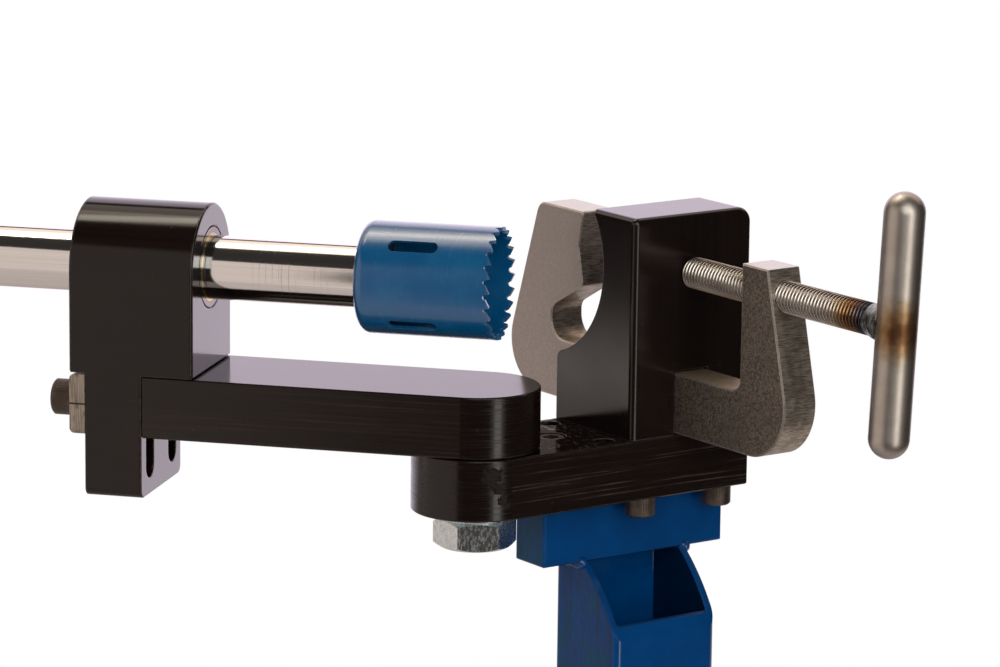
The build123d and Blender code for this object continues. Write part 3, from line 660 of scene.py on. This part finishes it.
def newPiece(name, mesh, finish):
    mesh.update()
    made = bpy.data.objects.new(name, mesh)
    scene.collection.objects.link(made)
    mesh.materials.append(finish)
    return made


def gridPiece(name, points, body, replaced, finish):
    # A smooth piece that rides on a body in the place of a packed one
    mesh = gridMesh(name, points, (True, True))
    mesh.polygons.foreach_set("use_smooth", np.ones(len(mesh.polygons), dtype=bool))
    made = newPiece(name, mesh, finish)
    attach(made, body)
    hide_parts(replaced)


def aroundScrew(radius, y, angle):
    # Points at a radius and an angle round the clamp screw's axis
    x, z = screwX + radius * np.cos(angle), screwZ + radius * np.sin(angle)
    return np.stack([x, y + 0 * angle, z], axis=-1)


def threadedRod(finish):
    # Radius of the rod at station s along it and angle a round it: the crest radius less the thread's
    # depth times a rounded triangle wave of (s / pitch - a / full turn); the tip is turned to a cone
    size = {"crest": 6.35 * mm, "depth": 1.15 * mm, "pitch": 1.954 * mm, "tip": 0.02 * mm,
            "end": 121.5 * mm, "tipTurn": 1.2 * mm, "rootFlat": 0.06, "crestFlat": 0.10,
            "stepsPerPitch": 14, "round": 56}
    stations = int((size["end"] - size["tip"]) / size["pitch"] * size["stepsPerPitch"])
    s = np.linspace(size["tip"], size["end"], stations)[:, None]
    a = np.linspace(0, fullTurn, size["round"], endpoint=False)[None, :]
    wave = np.abs(2 * ((s / size["pitch"] - a / fullTurn) % 1.0) - 1)
    wave = np.clip((wave - size["rootFlat"]) / (1 - size["rootFlat"] - size["crestFlat"]), 0, 1)
    wave = wave * wave * (3 - 2 * wave)
    radius = size["crest"] - size["depth"] * (1 - wave)
    radius = np.minimum(radius, size["crest"] - size["tipTurn"] + (s - size["tip"]))
    points = aroundScrew(radius, viseFrontY - s, a)
    gridPiece("clampScrewThread", points, "clamp_screw", "clamp_screw", finish)


def weldLumps(a, t, count, seed):
    # A smooth uneven height of about one over a turn and a length: waves of random phase added up
    rng = np.random.default_rng(seed)
    total = 0 * a + 0 * t
    for k in range(1, count + 1):
        wave = np.sin(k * a + rng.uniform(0, 6.28))
        total = total + wave * np.cos(2.1 * k * t + rng.uniform(0, 6.28)) / k
    return total / 1.6


def handleWeldRing(finish):
    # Radius at the share t of its length: the rod's, plus a rise that grows as t to the power hollow, plus
    # lumps that fade out at both ends; the ring sways a little along the rod
    size = {"start": 111.6 * mm, "end": 121.0 * mm, "rod": 6.25 * mm, "rise": 1.75 * mm, "steep": 1.35,
            "hollow": 1.3, "lump": 0.35 * mm, "lumpReach": 1.2, "lumpPower": 0.7, "sway": 0.3 * mm,
            "rows": 40, "round": 72, "waves": 6, "seed": 5}
    t = np.linspace(0, 1, size["rows"])[:, None]
    a = np.linspace(0, fullTurn, size["round"], endpoint=False)[None, :]
    s = size["start"] + t * (size["end"] - size["start"])
    swell = np.clip(t * size["steep"], 0, 1) ** size["hollow"]
    fade = np.sin(np.pi * np.clip(t * size["lumpReach"], 0, 1)) ** size["lumpPower"]
    lumps = weldLumps(a * 2, t * 3, size["waves"], size["seed"])
    radius = size["rod"] + size["rise"] * swell + size["lump"] * fade * lumps
    points = aroundScrew(radius, viseFrontY - s - size["sway"] * np.sin(3 * a + 1.0), a)
    gridPiece("handleWeldBead", points, "clamp_screw", "handle_weld", finish)


def postBeads(finish):
    # A bead along each side of the post under the bar. Its radius is the leg times the sum of one, a wave
    # that ripples along the run and lumps; it shrinks a little at the front and closes over at both ends
    size = {"side": 25.4 * mm, "top": 152.4 * mm, "rear": 20.0 * mm, "front": -0.6 * mm, "leg": 2.7 * mm,
            "sunk": 0.3 * mm, "ripple": 2.1 * mm, "rippleDepth": 0.16, "rippleLean": 0.12,
            "lumpDepth": 0.07, "cap": 0.14, "leastCap": 0.0004, "frontPart": 0.20, "frontShrink": 0.20,
            "rows": 150, "round": 36, "waves": 5, "seed": 11}
    t = np.linspace(0, 1, size["rows"])[:, None]
    a = np.linspace(0, fullTurn, size["round"], endpoint=False)[None, :]
    y = size["rear"] + t * (size["front"] - size["rear"])
    fromEnd = np.clip(1 - np.minimum(t, 1 - t) / size["cap"], 0, 1)
    cap = np.sqrt(np.clip(1 - fromEnd ** 2, size["leastCap"], 1))
    front = np.clip((t - 1 + size["frontPart"]) / size["frontPart"], 0, 1)
    ripple = np.abs(np.sin(np.pi * (y / size["ripple"] + size["rippleLean"] * np.cos(a)))) - 0.5
    lumps = weldLumps(a, t * 9, size["waves"], size["seed"])
    scale = 1 + size["rippleDepth"] * ripple + size["lumpDepth"] * lumps
    radius = size["leg"] * cap * (1 - size["frontShrink"] * front) * scale
    for name, way in (("postWeldLow", -1), ("postWeldHigh", 1)):
        x = way * (size["side"] + size["sunk"] + radius * np.cos(a))
        z = size["top"] - size["sunk"] + radius * np.sin(a) * way
        points = np.stack([x, y + 0 * a, z], axis=-1)
        gridPiece(name, points, "base", "post_welds", finish)


enamel = blueEnamel()
threadedRod(screwSteel())
handleWeldRing(weldSteel())
postBeads(enamel)
print("thread and welds made")


def dress(finish, *names):
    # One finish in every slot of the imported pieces
    for name in names:
        piece = nodes[name]
        if not piece.material_slots:
            piece.data.materials.append(finish)
        for slot in piece.material_slots:
            slot.material = finish


# The amount of edge paling on each bar stands for wear and for a painted highlight along its edges,
# strongest on the bearing block
dress(anodised("anodisedPlate", 0.0, roundEnd=True, lines=1.5, streaks=1.3, oil=True, bare=0.35),
      "base_plate")
dress(anodised("anodisedArm", armTurn, roundEnd=True, streaks=0.12), "swing_arm")
dress(anodised("anodisedHead", armTurn, brushed=0.35, gloss=1.40, soft=1.4 * mm, bare=0.55, endGloss=0.5),
      "bearing_block")
dress(anodised("anodisedVise", 0.0, brushed=0.4, lines=0.7, upright=True, gloss=1.50, bare=0.4),
      "vise_block")
dress(enamel, "post", "mounting_bar")
dress(sawEnamel(), "saw_cup")
dress(groundShaft(), "spindle")
dress(blastedSteel(), "clamp_frame")
dress(handleSteel(), "tee_handle")
dress(zincPlate(), "pivot_bolt", "pivot_washer")
dress(milledPlate(), "lock_plate", "pivot_shim")
dress(blackOxide("blackOxideUpright", True), "vise_screws", "bar_screws")
dress(blackOxide("blackOxideLock", False), "lock_screws")
dress(turnedMetal("bearingSteel", (0.24, 0.215, 0.19), (0.17, 0.155, 0.14), 0.22),
      "bearing_shells", "bearing_rollers", "bearing_cages")
dress(turnedMetal("wiperBronze", (0.85, 0.60, 0.20), (0.60, 0.41, 0.13), 0.26), "bearing_seals")
dress(turnedMetal("bushingBronze", (0.50, 0.36, 0.17), (0.36, 0.25, 0.11), 0.32), "pivot_bushing")
dress(turnedMetal("sawSteel", (0.36, 0.35, 0.34), (0.22, 0.21, 0.20), 0.34), "saw_cap")
print("finishes on")

white = (1.0, 1.0, 1.0)
behind = (0.5759, 0.8175, 0.0)  # the level direction from the camera past the object


def makeFloor():
    # A round pale floor of rings, whose radius grows as the ring's number to the power spread. It keeps
    # the shadow near the object and fades to white towards its rim
    look = {"middle": (0.05, 0.55, 0.0), "radius": 0.80, "rings": 24, "round": 96, "spread": 0.8,
            "paper": (0.80, 0.785, 0.80, 1.0), "glow": (1.0, 0.88, 1.0), "glowStrength": 1.3,
            "fade": (0.12, 0.42), "nearWhite": 0.62, "rimFade": (0.60, 0.76), "mirrorFade": (0.30, 0.60)}
    r = (np.linspace(0, 1, look["rings"]) ** look["spread"] * look["radius"])[1:, None]
    a = -np.linspace(0, fullTurn, look["round"], endpoint=False)[None, :]
    points = np.stack([r * np.cos(a), r * np.sin(a), 0 * r * a], axis=-1) + look["middle"]
    made, tree, shader = newFinish("floorPaper", Base_Color=look["paper"], Roughness=0.9)
    at = put(tree, "ShaderNodeTexCoord").outputs["Object"]
    far = vectorValue(tree, "LENGTH", at)
    rim = vectorValue(tree, "DISTANCE", at, look["middle"])
    back = vectorValue(tree, "DOT_PRODUCT", at, behind)
    ray = put(tree, "ShaderNodeLightPath").outputs
    tint = blend(tree, ray["Is Camera Ray"], look["glow"], white)
    strength = scaled(tree, ray["Is Camera Ray"], 1.0 - look["glowStrength"], look["glowStrength"])
    glow = put(tree, "ShaderNodeEmission", {"Color": tint, "Strength": strength}).outputs[0]
    seen = calc(tree, "MAXIMUM", rise(tree, far, *look["fade"], look["nearWhite"], 1.0),
                rise(tree, rim, *look["rimFade"]))
    mirrored = times(tree, ray["Is Glossy Ray"], rise(tree, back, *look["mirrorFade"]))
    share = calc(tree, "MAXIMUM", times(tree, ray["Is Camera Ray"], seen), mirrored)
    mixed = put(tree, "ShaderNodeMixShader", {0: share, 1: shader.outputs[0], 2: glow}).outputs[0]
    tree.links.new(mixed, tree.nodes["Material Output"].inputs["Surface"])
    floor = newPiece("floor", gridMesh("floor", points, (True, False)), made)


def makeWorld():
    # White to the camera; to the object, a pale backdrop behind, a warm ceiling above it, dim elsewhere
    look = {"pale": (0.98, 0.85, 0.98), "above": (0.86, 0.71, 0.61), "dim": (0.024, 0.021, 0.020),
            "mirror": 1.45,  # strength in reflections
            "aboveFrom": (0.26, 0.36), "aboveTo": (0.665, 0.685), "aboveHeight": (0.38, 0.50),
            "paleFrom": (0.765, 0.785)}
    world = bpy.data.worlds.new("studio")
    scene.world = world
    world.use_nodes = True
    tree = world.node_tree
    way = put(tree, "ShaderNodeTexCoord").outputs["Generated"]
    back = vectorValue(tree, "DOT_PRODUCT", way, behind)
    ceiling = times(tree, rise(tree, back, *look["aboveFrom"]), fall(tree, back, *look["aboveTo"]),
                    rise(tree, split(tree, way)["Z"], *look["aboveHeight"]))
    shade = layered(tree, look["dim"], (ceiling, 1.0, look["above"]),
                    (rise(tree, back, *look["paleFrom"]), 1.0, look["pale"]))
    ray = put(tree, "ShaderNodeLightPath").outputs
    background = tree.nodes["Background"].inputs
    tree.links.new(blend(tree, ray["Is Camera Ray"], shade, white), background["Color"])
    tree.links.new(scaled(tree, ray["Is Glossy Ray"], look["mirror"] - 1.0, 1.0), background["Strength"])


def softbox(name, place, facing, along, length, width, glow, colour):
    # A rectangular lamp of the given brightness; its length runs the way that along points
    light = bpy.data.lights.new(name, "AREA")
    light.shape, light.size, light.size_y = "RECTANGLE", length, width
    light.energy, light.color = glow * math.pi * length * width, colour
    made = bpy.data.objects.new(name, light)
    scene.collection.objects.link(made)
    back = -Vector(facing).normalized()
    x = (Vector(along) - Vector(along).dot(back) * back).normalized()
    made.matrix_world = Matrix.Translation(place) @ Matrix((x, back.cross(x), back)).transposed().to_4x4()
    made.visible_camera = False


lamps = {
    "overheadSoftbox": {"place": (-0.20, 0.40, 1.47), "facing": (0.08, -0.28, -1.0),
                        "along": (math.cos(armTurn), math.sin(armTurn), 0.0),
                        "length": 0.95, "width": 0.52, "glow": 1.9, "colour": (1.0, 0.86, 0.70)},
    "overheadCore": {"place": (-0.123, 0.510, 1.46), "facing": (0.03, -0.35, -1.0),
                     "along": (-0.98, -0.19, 0), "length": 0.85, "width": 0.14, "glow": 6.2,
                     "colour": (1.0, 0.90, 0.76)},
    "sideSoftbox": {"place": (-0.9015, 0.0735, 0.0375), "facing": (0.94, -0.34, 0),
                    "along": (0.34, 0.94, 0), "length": 1.05, "width": 1.675, "glow": 0.70,
                    "colour": (1.0, 0.86, 0.78)},
    "sideSoftboxLow": {"place": (-0.6465, 0.7785, -0.385), "facing": (0.94, -0.34, 0),
                       "along": (0.34, 0.94, 0), "length": 0.45, "width": 0.83, "glow": 1.7,
                       "colour": (1.0, 0.87, 0.80)},
    "frontStrip": {"place": (0.01, -1.05, 0.15), "facing": (0, 1, 0), "along": (0, 0, 1),
                   "length": 0.95, "width": 0.24, "glow": 2.6, "colour": (1.0, 0.94, 0.88)},
    "frontHalo": {"place": (0.01, -1.06, 0.15), "facing": (0, 1, 0), "along": (0, 0, 1),
                  "length": 0.95, "width": 0.50, "glow": 0.5, "colour": (1.0, 0.94, 0.88)},
    "frontFill": {"place": (-0.55, -1.35, 1.0), "facing": (0.36, 0.88, -0.48), "along": (1, 0, 0),
                  "length": 1.4, "width": 1.1, "glow": 2.1, "colour": (1.0, 0.97, 0.94)},
}


def makeCamera():
    # The photograph's viewpoint: right and forward directions, and the lens for a 36 mm wide frame
    view = {"eye": (-1.0770, -1.432075, 0.6092), "right": (0.8189, -0.5739, 0.0118),
            "forward": (0.5642, 0.8009, -0.2007), "lens": 165.6, "frameWidth": 36.0, "clip": (0.05, 50.0)}
    forward = Vector(view["forward"]).normalized()
    right = Vector(view["right"])
    right = (right - right.dot(forward) * forward).normalized()
    data = bpy.data.cameras.new("camera")
    data.lens, data.sensor_width = view["lens"], view["frameWidth"]
    data.clip_start, data.clip_end = view["clip"]
    made = bpy.data.objects.new("camera", data)
    scene.collection.objects.link(made)
    turn = Matrix((right, right.cross(forward), -forward)).transposed().to_4x4()
    made.matrix_world = Matrix.Translation(view["eye"]) @ turn
    scene.camera = made


for lampName, lamp in lamps.items():
    softbox(lampName, **lamp)
makeWorld()
makeFloor()
makeCamera()
scene.view_settings.view_transform = "Standard"
print("floor, light and camera set")
